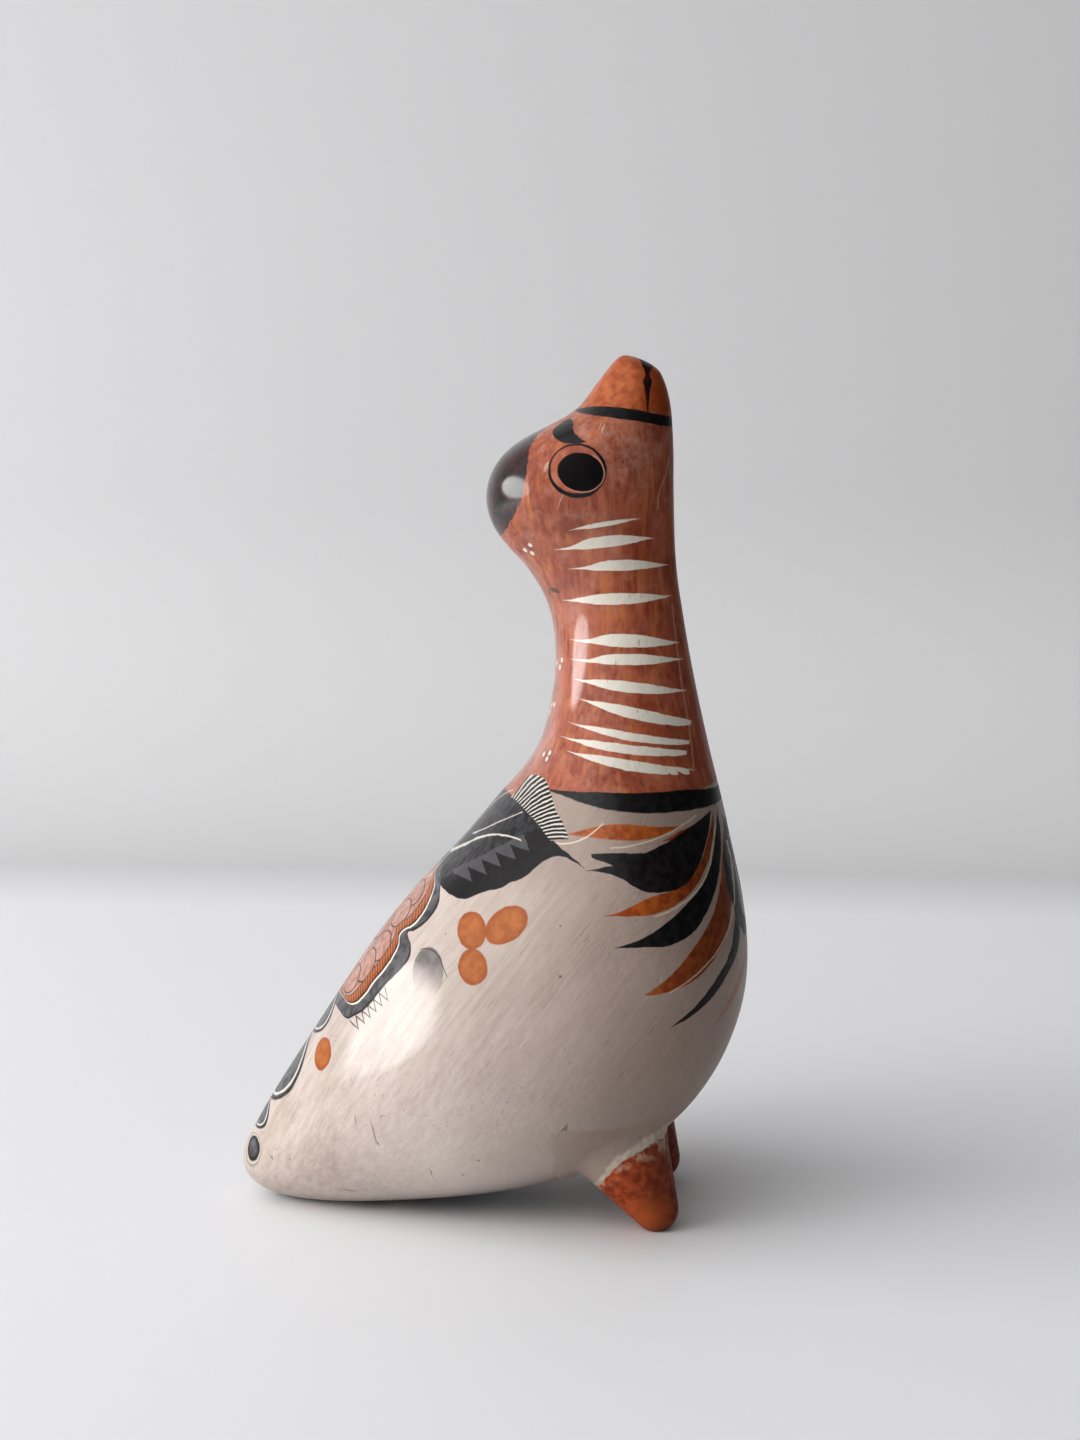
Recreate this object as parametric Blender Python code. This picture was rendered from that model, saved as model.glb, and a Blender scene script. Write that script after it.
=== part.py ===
"""A pottery bird: a hand-built, burnished figurine with its head thrown back and a blunt beak that points
straight up. The whole bird is one fired piece, a teardrop that rests on its tail and on two stubby feet.

Metres, +Z up. The breast is at +X, the tail at -X, and the bird's own left side is at +Y. The origin is on the
floor, midway between the breast and the tail.
"""

import math

import bmesh
import bpy
import numpy as np
from mathutils import Vector

# Overall size
HEIGHT = 0.240

# Pose and outline, in shares of the height. Each station is a slice across the bird: its point on the back
# (x, z), its point on the belly, breast or throat (x, z), and its half width.
TAIL_TIP = (-0.303, 0.046)
STATIONS = (
    ((-0.295, 0.073), (-0.286, 0.018), 0.040),
    ((-0.267, 0.123), (-0.242, 0.002), 0.072),
    ((-0.222, 0.195), (-0.175, -0.001), 0.108),
    ((-0.170, 0.275), (-0.090, 0.006), 0.148),
    ((-0.112, 0.356), (0.000, 0.018), 0.182),
    ((-0.062, 0.412), (0.088, 0.038), 0.201),
    ((-0.022, 0.456), (0.165, 0.070), 0.212),
    ((0.010, 0.494), (0.229, 0.122), 0.217),
    ((0.034, 0.521), (0.275, 0.191), 0.215),
    ((0.052, 0.549), (0.299, 0.275), 0.204),
    ((0.063, 0.578), (0.294, 0.370), 0.178),
    ((0.070, 0.610), (0.275, 0.460), 0.142),
    ((0.074, 0.648), (0.251, 0.560), 0.109),
    ((0.071, 0.690), (0.231, 0.652), 0.086),
    ((0.059, 0.729), (0.216, 0.738), 0.077),
    ((0.033, 0.767), (0.211, 0.800), 0.080),
    ((0.003, 0.803), (0.209, 0.850), 0.090),
    ((-0.006, 0.847), (0.209, 0.885), 0.093),
    ((0.013, 0.887), (0.208, 0.915), 0.087),
    ((0.052, 0.914), (0.206, 0.938), 0.071),
    ((0.093, 0.936), (0.202, 0.958), 0.054),
    ((0.116, 0.962), (0.196, 0.975), 0.040),
    ((0.138, 0.990), (0.184, 0.989), 0.025),
)
BEAK_TIP = (0.156, 1.000)

# How much broader a slice is towards the belly and breast than towards the back
FULLNESS = 0.10

# Feet: blunt cones of clay with round tips, in shares of the height, with their tips in under the breast
FOOT_FORWARD = 0.196
FOOT_SPACING = 0.188
FOOT_TIP_RADIUS = 0.0267
FOOT_LENGTH = 0.110
FOOT_LEAN_BACK = 0.56
FOOT_LEAN_INWARD = 0.12
FOOT_TAPER = math.radians(19.5)

# Flat worn on the tip of each foot
SOLE_DIAMETER = 0.0056

# Fineness of the mesh
RINGS_PER_STATION = 3
BODY_SIDES = 44
FOOT_SIDES = 24
TIP_RINGS = 5

BODY_COLOUR = (0.53, 0.43, 0.37, 1.0)
BODY_ROUGHNESS = 0.28


def clear_scene():
    """Removes every object, so that the script can be run again."""
    for item in list(bpy.data.objects):
        bpy.data.objects.remove(item, do_unlink=True)


def add_object(mesh, name):
    """Makes a named object of a bmesh, with its faces pointing out and shaded smooth."""
    bmesh.ops.recalc_face_normals(mesh, faces=mesh.faces)
    data = bpy.data.meshes.new(name)
    mesh.to_mesh(data)
    mesh.free()
    data.shade_smooth()
    item = bpy.data.objects.new(name, data)
    bpy.context.scene.collection.objects.link(item)
    return item


def closed_skin(mesh, rings, first_tip, last_tip):
    """Joins rings of points into one closed skin that ends in a point beyond the first and the last ring."""
    skin = [[mesh.verts.new(point) for point in ring] for ring in rings]
    sides = len(skin[0])
    for lower, upper in zip(skin, skin[1:]):
        for side in range(sides):
            after = (side + 1) % sides
            mesh.faces.new((lower[side], lower[after], upper[after], upper[side]))
    for tip, ring in ((first_tip, skin[0]), (last_tip, skin[-1])):
        point = mesh.verts.new(tip)
        for side in range(sides):
            mesh.faces.new((point, ring[side], ring[(side + 1) % sides]))


def closed_spline(points):
    """A smooth closed curve through points, as a function of the place along it counted in points."""
    count = len(points)
    ahead, behind = np.roll(points, -1, axis=0), np.roll(points, 1, axis=0)
    unit = np.eye(count)
    system = 4.0 * unit + np.roll(unit, 1, axis=1) + np.roll(unit, -1, axis=1)
    bend = np.linalg.solve(system, ahead - 2.0 * points + behind)

    def at(place):
        start = math.floor(place)
        first, second = start % count, (start + 1) % count
        u = place - start
        v = 1.0 - u
        straight = v * points[first] + u * points[second]
        return straight + (v**3 - v) * bend[first] + (u**3 - u) * bend[second]

    return at


def bird_outline():
    """The outline and half width round the bird: from the tail up the back to the beak, and down the front.
    The half width changes sign at both tips, which closes them round."""
    backs = [(*back, width) for back, _, width in STATIONS]
    fronts = [(*front, -width) for _, front, width in reversed(STATIONS)]
    loop = [(*TAIL_TIP, 0.0), *backs, (*BEAK_TIP, 0.0), *fronts]
    return closed_spline(np.array(loop) * HEIGHT)


def slice_ring(back, front, half_width):
    """Points round one slice of the bird, an egg with its broad end towards the front."""
    ring = []
    for side in range(BODY_SIDES):
        angle = 2.0 * math.pi * side / BODY_SIDES
        x, z = front + (back - front) * (0.5 + 0.5 * math.cos(angle))
        breadth = half_width * (1.0 - FULLNESS * math.cos(angle))
        ring.append((x, breadth * math.sin(angle), z))
    return ring


def make_bird():
    """The body, neck, head and beak, as one skin of slices from the tail to the beak."""
    outline = bird_outline()
    rings = []
    for step in range(1, RINGS_PER_STATION * (len(STATIONS) + 1)):
        place = step / RINGS_PER_STATION
        back, front = outline(place), outline(-place)
        rings.append(slice_ring(back[:2], front[:2], back[2]))
    tail, beak = ((x * HEIGHT, 0.0, z * HEIGHT) for x, z in (TAIL_TIP, BEAK_TIP))
    mesh = bmesh.new()
    closed_skin(mesh, rings, tail, beak)
    return add_object(mesh, "pottery_bird")


def foot_profile(radius):
    """The side of a foot as distances along it and radii: a round tip, and then a cone up into the body."""
    profile = []
    for step in range(1, TIP_RINGS + 1):
        turn = (math.pi / 2 - FOOT_TAPER) * step / TIP_RINGS
        profile.append((-radius * math.cos(turn), radius * math.sin(turn)))
    start, start_radius = profile[-1]
    length = FOOT_LENGTH * HEIGHT
    profile.append((length, start_radius + (length - start) * math.tan(FOOT_TAPER)))
    return profile


def make_foot(name, side):
    """One foot, on the bird's left at +1 or its right at -1, leaning in and back from its tip into the body."""
    radius = FOOT_TIP_RADIUS * HEIGHT
    drop = math.sqrt(radius**2 - (SOLE_DIAMETER / 2) ** 2)
    centre = Vector((FOOT_FORWARD * HEIGHT, side * FOOT_SPACING * HEIGHT / 2, drop))
    lean = Vector((-FOOT_LEAN_BACK, -side * FOOT_LEAN_INWARD, 1.0)).normalized()
    across = lean.cross(Vector((0.0, 1.0, 0.0))).normalized()
    along = lean.cross(across)
    profile = foot_profile(radius)
    rings = []
    for distance, ring_radius in profile:
        ring = []
        for step in range(FOOT_SIDES):
            angle = 2.0 * math.pi * step / FOOT_SIDES
            out = across * math.cos(angle) + along * math.sin(angle)
            ring.append(centre + lean * distance + out * ring_radius)
        rings.append(ring)
    mesh = bmesh.new()
    closed_skin(mesh, rings, centre - lean * radius, centre + lean * profile[-1][0])
    return add_object(mesh, name)


def make_floor_trim():
    """A block as large as the bird, with its top at the floor. It trims all that is below the floor, which
    leaves the soles and a patch under the tail flat."""
    mesh = bmesh.new()
    bmesh.ops.create_cube(mesh, size=HEIGHT)
    bmesh.ops.translate(mesh, vec=(0.0, 0.0, -HEIGHT / 2), verts=mesh.verts)
    return add_object(mesh, "floor_trim")


def combine(target, tool, operation):
    """Joins a shape to the target, or cuts it away, and keeps the shape as a hidden guide that moves with it."""
    step = target.modifiers.new(tool.name, "BOOLEAN")
    step.operation = operation
    step.object = tool
    step.solver = "EXACT"
    tool.parent = target
    tool.hide_render = True
    tool.display_type = "WIRE"


def centre_over_origin(item):
    """Moves an object along X until its tail and breast are equally far from the origin."""
    along = [vertex.co.x for vertex in item.data.vertices]
    item.location.x = -(min(along) + max(along)) / 2


def burnished_clay():
    """Cream slip on fired clay, rubbed to a gloss."""
    material = bpy.data.materials.new("burnished_clay")
    material.use_nodes = True
    shader = material.node_tree.nodes["Principled BSDF"]
    shader.inputs["Base Color"].default_value = BODY_COLOUR
    shader.inputs["Roughness"].default_value = BODY_ROUGHNESS
    shader.inputs["Metallic"].default_value = 0.0
    return material


def main():
    """Builds the bird: its body, its feet, and the flats that it rests on."""
    clear_scene()
    bird = make_bird()
    bird.data.materials.append(burnished_clay())
    combine(bird, make_foot("right_foot", -1), "UNION")
    combine(bird, make_foot("left_foot", 1), "UNION")
    combine(bird, make_floor_trim(), "DIFFERENCE")
    centre_over_origin(bird)


main()
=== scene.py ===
"""The looks of a pottery bird: a hand-built, burnished figurine, painted in slips on a cream body.

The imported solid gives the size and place. A finer skin of the same slices stands for it here, with its two
feet drawn out of the body, and the painted decoration is worked out on it by brush strokes in real sizes.

Metres, +Z up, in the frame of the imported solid. The breast is at +X, the tail at -X. Both sides are painted
alike. Places of the paint are in millimetres on a bird 240 mm tall: along X, up Z, and out from the middle.
Edges of strokes are given by how far they stand off the line between the two tips, at even steps from the
start to the end, in millimetres to the left of the way along.
"""
import logging
import math
from dataclasses import dataclass
from enum import Enum
from typing import Mapping, Optional, Sequence, Union

import bpy
import numpy as np
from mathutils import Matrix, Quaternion, Vector, noise


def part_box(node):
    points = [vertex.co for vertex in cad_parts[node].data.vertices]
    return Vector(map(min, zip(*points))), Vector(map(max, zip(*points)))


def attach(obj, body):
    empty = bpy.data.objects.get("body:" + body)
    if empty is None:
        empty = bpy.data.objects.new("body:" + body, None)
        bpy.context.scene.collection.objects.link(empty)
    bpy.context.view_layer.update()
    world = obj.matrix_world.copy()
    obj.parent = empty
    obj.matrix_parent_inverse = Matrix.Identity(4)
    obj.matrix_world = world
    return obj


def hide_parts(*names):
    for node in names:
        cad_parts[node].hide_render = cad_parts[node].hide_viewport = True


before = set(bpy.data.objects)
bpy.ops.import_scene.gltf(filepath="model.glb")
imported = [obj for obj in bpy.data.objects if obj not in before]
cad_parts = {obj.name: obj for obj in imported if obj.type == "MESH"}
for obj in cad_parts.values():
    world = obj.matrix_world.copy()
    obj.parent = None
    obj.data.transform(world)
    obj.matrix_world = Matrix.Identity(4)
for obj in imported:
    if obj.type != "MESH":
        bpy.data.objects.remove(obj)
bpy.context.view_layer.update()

NODE = "pottery_bird"
PIECE = "painted_bird"
MM = 0.001
DRAWN_HEIGHT = 240.0
BACK_RUN, BACK_RISE = 0.6, 0.8

Pair = tuple[float, float]
Triple = tuple[float, float, float]
Colour = tuple[float, float, float, float]
log = logging.getLogger("pottery_bird")


def screen_colour(red: float, green: float, blue: float) -> Colour:
    """Turns a colour as seen on a screen into the linear one that a shader takes.

    Args:
        red, green, blue: the parts, from 0 to 255.

    Returns:
        The linear colour with full cover.
    """
    parts = [part / 255.0 for part in (red, green, blue)]
    return (*(p / 12.92 if p <= 0.04045 else ((p + 0.055) / 1.055) ** 2.4 for p in parts), 1.0)


class Slip(Enum):
    """The coloured slips and clays of the bird, as they look on a screen, from 0 to 255."""

    CREAM = (190, 177, 169)
    # a lighter cream painted as light thrown up from the floor onto the lower body
    CREAM_PAINTED_LIGHT = (214, 203, 195)
    CREAM_SHADE = (167, 152, 143)
    # a darker cream painted as shade on the front of the breast
    CREAM_PAINTED_SHADE = (140, 123, 113)
    RUST = (166, 98, 74)
    # a darker rust for random streaks, also painted as shade on the front of the neck and head
    RUST_DARK = (128, 65, 47)
    RUST_MAUVE = (182, 138, 124)
    RUST_OCHRE = (186, 116, 70)
    BEAK = (172, 98, 62)
    BEAK_DARK = (146, 76, 44)
    BLACK = (23, 20, 21)
    BLACK_SOFT = (36, 34, 36)
    # a warm black, also painted as shade over the front ochres and the front of the feet
    BLACK_WARM = (58, 27, 23)
    SLATE = (60, 59, 61)
    GREY = (92, 90, 92)
    WHITE = (207, 201, 190)
    OCHRE = (164, 88, 32)
    # a dark ochre, also painted as shade on the front of the beak
    OCHRE_DARK = (134, 60, 18)
    ORANGE = (166, 98, 48)
    ORANGE_DARK = (150, 84, 36)
    PINK = (170, 134, 120)
    REDDISH = (150, 100, 86)
    FOOT = (168, 85, 50)
    FOOT_DARK = (128, 56, 30)
    # a lighter orange painted as light on the lit side of each foot
    FOOT_PAINTED_LIGHT = (186, 104, 54)
    PIT = (66, 48, 40)
    PUTTY = (208, 198, 178)

    @property
    def colour(self) -> Colour:
        """The slip as a shader takes it."""
        return screen_colour(*self.value)


Number = Union["Value", float, int]


class Value:
    """A number that changes over the surface: an output socket that takes Python's arithmetic."""

    def __init__(self, graph: "Graph", socket: bpy.types.NodeSocket) -> None:
        """Wraps a socket of a graph."""
        self.graph = graph
        self.socket = socket

    def __add__(self, other: Number) -> "Value":
        """This value and another, added."""
        return self.graph.math("ADD", self, other)

    __radd__ = __add__

    def __sub__(self, other: Number) -> "Value":
        """This value less another."""
        return self.graph.math("SUBTRACT", self, other)

    def __rsub__(self, other: Number) -> "Value":
        """A number less this value."""
        return self.graph.math("SUBTRACT", other, self)

    def __mul__(self, other: Number) -> "Value":
        """This value times another."""
        return self.graph.math("MULTIPLY", self, other)

    __rmul__ = __mul__

    def __truediv__(self, other: Number) -> "Value":
        """This value divided by another."""
        return self.graph.math("DIVIDE", self, other)

    def __abs__(self) -> "Value":
        """This value without its sign."""
        return self.graph.math("ABSOLUTE", self)

    def __pow__(self, power: float) -> "Value":
        """This value to a power."""
        return self.graph.math("POWER", self, power)

    def least(self, other: Number) -> "Value":
        """The smaller of this value and another."""
        return self.graph.math("MINIMUM", self, other)

    def most(self, other: Number) -> "Value":
        """The larger of this value and another."""
        return self.graph.math("MAXIMUM", self, other)

    def fraction(self) -> "Value":
        """What this value is above a whole number."""
        return self.graph.math("FRACT", self)

    def scaled(self, factor: float, more: Number) -> "Value":
        """This value times a factor, and more added."""
        return self.graph.math("MULTIPLY_ADD", self, factor, more)

    def ramp(self, factor: float, more: Number) -> "Value":
        """This value times a factor, and more added, kept from 0 to 1."""
        return self.graph.math("MULTIPLY_ADD", self, factor, more, clamp=True)

    def inside(self, softness: float) -> "Value":
        """Cover of a region where this value is above nought.

        Args:
            softness: how far the edge takes to go from bare to covered, in this value's own units.

        Returns:
            A value from 0, outside, to 1, inside.
        """
        return self.ramp(1.0 / softness, 0.5)

    def above(self, limit: Number, softness: float) -> "Value":
        """Cover, from 0 to 1, of the region where this value is above a limit."""
        return (self - limit).inside(softness)

    def below(self, limit: Number, softness: float) -> "Value":
        """Cover, from 0 to 1, of the region where this value is below a limit."""
        return (limit - self).inside(softness)

    def near(self, centre: Number, half: Number, softness: float) -> "Value":
        """Cover, from 0 to 1, of a line: where this value is within a half width of a centre."""
        return (half - abs(self - centre)).inside(softness)


@dataclass(frozen=True)
class Grain:
    """A random pattern: how fine it is, how much detail it has, and how rough that is."""

    scale: float
    detail: float = 3.0
    roughness: float = 0.5


class Graph:
    """The nodes of one material or world, and the few ways to add to them."""

    material: Optional[bpy.types.Material] = None

    def __init__(self, tree: bpy.types.NodeTree, shader: bpy.types.Node) -> None:
        """Takes over a tree that has one shader."""
        self.tree = tree
        self.shader = shader

    @classmethod
    def of_material(cls, name: str) -> "Graph":
        """Starts a material with one shader.

        Args:
            name: the material's name.

        Returns:
            The graph of its nodes, which holds the material.
        """
        material = bpy.data.materials.new(name)
        material.use_nodes = True
        graph = cls(material.node_tree, material.node_tree.nodes["Principled BSDF"])
        graph.material = material
        return graph

    def node(
        self, kind: str, settings: Optional[Mapping] = None, inputs: Optional[Mapping] = None
    ) -> bpy.types.Node:
        """Adds a node.

        Args:
            kind: the node's type without its "ShaderNode".
            settings: its own settings, which are set first.
            inputs: values or links of its sockets, by name or number.

        Returns:
            The node.
        """
        made = self.tree.nodes.new("ShaderNode" + kind)
        for name, value in (settings or {}).items():
            setattr(made, name, value)
        for name, value in (inputs or {}).items():
            self.connect(value, made.inputs[name])
        return made

    def connect(self, value: object, socket: bpy.types.NodeSocket) -> None:
        """Feeds a socket.

        Args:
            value: a value or a socket, which is linked, or a plain number, vector or slip, which is set.
            socket: the socket that takes it.
        """
        if isinstance(value, Slip):
            value = value.colour
        source = value.socket if isinstance(value, Value) else value
        if isinstance(source, bpy.types.NodeSocket):
            self.tree.links.new(source, socket)
        else:
            socket.default_value = source

    def math(self, operation: str, *values: Number, clamp: bool = False) -> Value:
        """One step of arithmetic on values and numbers."""
        settings = {"operation": operation, "use_clamp": clamp}
        return Value(self, self.node("Math", settings, dict(enumerate(values))).outputs[0])

    def vector(self, operation: str, *values: object, scale: Optional[float] = None) -> bpy.types.NodeSocket:
        """One step of arithmetic on vectors that gives a vector.

        Args:
            operation: the step, by its name in Vector Math.
            values: the vectors.
            scale: a number that the step takes besides, if it does.

        Returns:
            The socket of the result.
        """
        inputs = dict(enumerate(values))
        if scale is not None:
            inputs["Scale"] = scale
        return self.node("VectorMath", {"operation": operation}, inputs).outputs["Vector"]

    def measure(self, operation: str, *values: object) -> Value:
        """One step of arithmetic on vectors that gives a number, such as a distance."""
        made = self.node("VectorMath", {"operation": operation}, dict(enumerate(values)))
        return Value(self, made.outputs["Value"])

    def split(self, vector: object) -> tuple[Value, ...]:
        """The three parts of a vector."""
        return tuple(Value(self, part) for part in self.node("SeparateXYZ", None, {0: vector}).outputs)

    def joined(self, *parts: Number) -> bpy.types.NodeSocket:
        """A vector of three parts."""
        return self.node("CombineXYZ", None, dict(enumerate(parts))).outputs[0]

    def mix(self, factor: Number, below: object, above: object) -> bpy.types.NodeSocket:
        """Lays a colour over another.

        Args:
            factor: how much the upper one covers, from 0 to 1.
            below, above: the two colours, as sockets or slips.

        Returns:
            The socket of the mixed colour.
        """
        made = self.node("Mix", {"data_type": "RGBA"}, {"Factor": factor})
        colours = [socket for socket in made.inputs if socket.type == "RGBA"]
        self.connect(below, colours[0])
        self.connect(above, colours[1])
        return next(socket for socket in made.outputs if socket.type == "RGBA")

    def noise(self, place: object, grain: Grain) -> Value:
        """A smooth random value about 0.5, from 0 to 1."""
        inputs = {"Vector": place, "Scale": grain.scale, "Detail": grain.detail, "Roughness": grain.roughness}
        return Value(self, self.node("TexNoise", None, inputs).outputs[0])

    def curve(self, value: Value, points: Sequence[Pair]) -> Value:
        """Reads a smooth curve.

        Args:
            value: where on the curve, from 0 to 1.
            points: points of the curve, from left to right.

        Returns:
            The curve's height there.
        """
        made = self.node("FloatCurve", None, {"Value": value})
        mapping = made.mapping
        mapping.use_clip = False
        line = mapping.curves[0]
        line.points[0].location = points[0]
        line.points[1].location = points[-1]
        for point in points[1:-1]:
            line.points.new(*point)
        mapping.update()
        return Value(self, made.outputs[0])


@dataclass(frozen=True)
class Canvas:
    """Where the painter's brush is on the surface, in millimetres on a bird 240 mm tall."""

    graph: Graph
    place: bpy.types.NodeSocket
    bare: bpy.types.NodeSocket
    out: Value
    along: Value
    up: Value
    back: Value

    @classmethod
    def of(cls, graph: Graph, wobble: float = 0.55) -> "Canvas":
        """Lays out the places of one material.

        Args:
            graph: the material's graph.
            wobble: how far an unsteady hand strays, in millimetres.

        Returns:
            The canvas, whose sides mirror each other.
        """
        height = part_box(NODE)[1].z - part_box(NODE)[0].z
        point = graph.node("TexCoord").outputs["Object"]
        place = graph.vector("SCALE", point, scale=DRAWN_HEIGHT / height)
        _, side, _ = graph.split(graph.vector("ABSOLUTE", place))
        x, _, z = graph.split(place)
        bare = graph.joined(x, side, z)
        unsteady = graph.node("TexNoise", None, {"Vector": bare, "Scale": 0.35, "Detail": 3.0})
        centred = graph.vector("SUBTRACT", unsteady.outputs["Color"], (0.5, 0.5, 0.5))
        brush = graph.vector("ADD", bare, graph.vector("SCALE", centred, scale=wobble))
        along, out, up = graph.split(brush)
        return cls(graph, brush, bare, out, along, up, along.scaled(BACK_RUN, up * BACK_RISE))

    def profile(self, value: Value, points: Sequence[Pair], ends: Pair) -> Value:
        """A smooth outline: what one measure is where another has a value.

        Args:
            value: the measure that the outline runs along.
            points: pairs of this measure and the outline's, in millimetres or degrees.
            ends: the first and the last of the measure that it runs along.

        Returns:
            The outline's measure.
        """
        low, span = ends[0], ends[1] - ends[0]
        share = value.ramp(1.0 / span, -low / span)
        return self.graph.curve(share, [((at - low) / span, edge / span) for at, edge in points]) * span

    def view(self, plane: "Plane") -> tuple[Value, Value]:
        """Turns a stroke's plane into the values that it is drawn in.

        Args:
            plane: the plane.

        Returns:
            The first and the second value.
        """
        if plane is Plane.BACK:
            return self.back, self.out
        if plane is Plane.FRONT:
            return self.out, self.up
        return self.along, self.up


class Plane(Enum):
    """The plane that a stroke is drawn in."""

    SIDE = "along and up"
    BACK = "up the back and out from its middle"
    FRONT = "out from the middle and up"


def chord(canvas: Canvas, plane: Plane, start: Pair, end: Pair) -> tuple[Value, Value, float]:
    """Places along and to the left of the straight line between two points, as shares of its length.

    Args:
        canvas: where the brush is.
        plane: the plane that the points are in.
        start, end: the two points.

    Returns:
        The share along, the share to the left, and the length.
    """
    first, second = canvas.view(plane)
    run, rise = end[0] - start[0], end[1] - start[1]
    square = run * run + rise * rise
    t = first.scaled(run / square, second.scaled(rise / square, -(run * start[0] + rise * start[1]) / square))
    v = first.scaled(-rise / square, second.scaled(run / square, (rise * start[0] - run * start[1]) / square))
    return t, v, math.sqrt(square)


@dataclass(frozen=True)
class Spindle:
    """A brush stroke that swells between two pointed tips."""

    start: Pair
    end: Pair
    width: float
    bow: float = 0.0
    skew: float = 0.0
    plane: Plane = Plane.SIDE
    softness: float = 0.22

    def cover(self, canvas: Canvas) -> Value:
        """Draws the stroke.

        Args:
            canvas: where the brush is.

        Returns:
            How much of the stroke lies there, from 0 to 1.
        """
        t, v, length = chord(canvas, self.plane, self.start, self.end)
        u = t.scaled(2.0, -1.0)
        swell = (1.0 - u * u).most(0.0)
        centre = swell * (self.bow / length)
        profile = swell * u.scaled(self.skew, 1.0) if self.skew else swell
        edge = profile * (self.width / 2 / length) - abs(v - centre)
        return edge.least(t.least(1.0 - t)).inside(self.softness / length)


def offset_curve(canvas: Canvas, t: Value, offsets: Sequence[float], length: float) -> Value:
    """A smooth line beside a chord, by how far it stands off it.

    Args:
        canvas: where the brush is.
        t: the share along the chord.
        offsets: how far the line stands off to the left, in millimetres, at even steps.
        length: the chord's length.

    Returns:
        The line's offset at the brush, as a share of the length.
    """
    steps = len(offsets) - 1
    return canvas.graph.curve(t, [(step / steps, offset / length) for step, offset in enumerate(offsets)])


@dataclass(frozen=True)
class Blade:
    """A stroke or leaf between two edges, each given by how far it stands off the line between the tips."""

    start: Pair
    end: Pair
    left: Sequence[float]
    right: Sequence[float]
    plane: Plane = Plane.SIDE
    open_end: bool = False
    softness: float = 0.22

    def depth(self, canvas: Canvas) -> tuple[Value, float]:
        """Finds how far inside its edges the brush is.

        Args:
            canvas: where the brush is.

        Returns:
            The depth as a share of the length, and the length.
        """
        t, v, length = chord(canvas, self.plane, self.start, self.end)
        left, right = (offset_curve(canvas, t, side, length) for side in (self.left, self.right))
        inside = (left - v).least(v - right).least(t)
        if not self.open_end:
            inside = inside.least(1.0 - t)
        return inside, length

    def cover(self, canvas: Canvas) -> Value:
        """How much of the stroke lies at the brush, from 0 to 1."""
        inside, length = self.depth(canvas)
        return inside.inside(self.softness / length)


@dataclass(frozen=True)
class Hairline:
    """A fine line along a curve, given as a blade's edge is."""

    start: Pair
    end: Pair
    offsets: Sequence[float]
    width: float = 0.35
    plane: Plane = Plane.SIDE
    softness: float = 0.2

    def cover(self, canvas: Canvas) -> Value:
        """Draws the line.

        Args:
            canvas: where the brush is.

        Returns:
            How much of the line lies there, from 0 to 1.
        """
        t, v, length = chord(canvas, self.plane, self.start, self.end)
        edge = self.width / 2 / length - abs(v - offset_curve(canvas, t, self.offsets, length))
        return edge.least(t).least(1.0 - t).inside(self.softness / length)


@dataclass(frozen=True)
class Dab:
    """A round or oval touch of the brush or the finger."""

    centre: Pair
    radii: Pair
    turn: float = 0.0
    plane: Plane = Plane.SIDE
    softness: float = 0.3

    def reach(self, canvas: Canvas) -> Value:
        """Measures the distance from the centre.

        Args:
            canvas: where the brush is.

        Returns:
            The distance as a share of the radius.
        """
        first, second = canvas.view(self.plane)
        c, s = math.cos(math.radians(self.turn)), math.sin(math.radians(self.turn))
        (x, y), (a, b) = self.centre, self.radii
        p = first.scaled(c / a, second.scaled(s / a, -(c * x + s * y) / a))
        q = first.scaled(-s / b, second.scaled(c / b, (s * x - c * y) / b))
        return (p * p + q * q) ** 0.5

    def cover(self, canvas: Canvas) -> Value:
        """How much of the dab lies at the brush, from 0 to 1."""
        return self.reach(canvas).below(1.0, self.softness / min(self.radii))


@dataclass(frozen=True)
class Ball:
    """A touch that is round on any slope: all of the surface within a radius of a point."""

    centre: Triple
    radius: float
    softness: float = 0.3

    def cover(self, canvas: Canvas) -> Value:
        """How much of the touch lies at the brush, from 0 to 1."""
        away = canvas.graph.measure("DISTANCE", canvas.place, self.centre)
        return away.below(self.radius, self.softness)


Mark = Union[Spindle, Blade, Hairline, Dab, Ball]


def all_of(canvas: Canvas, marks: Sequence[Mark]) -> Value:
    """Draws several marks together.

    Args:
        canvas: where the brush is.
        marks: the marks.

    Returns:
        How much of them lies there, from 0 to 1.
    """
    cover = marks[0].cover(canvas)
    for mark in marks[1:]:
        cover = cover.most(mark.cover(canvas))
    return cover


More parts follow.
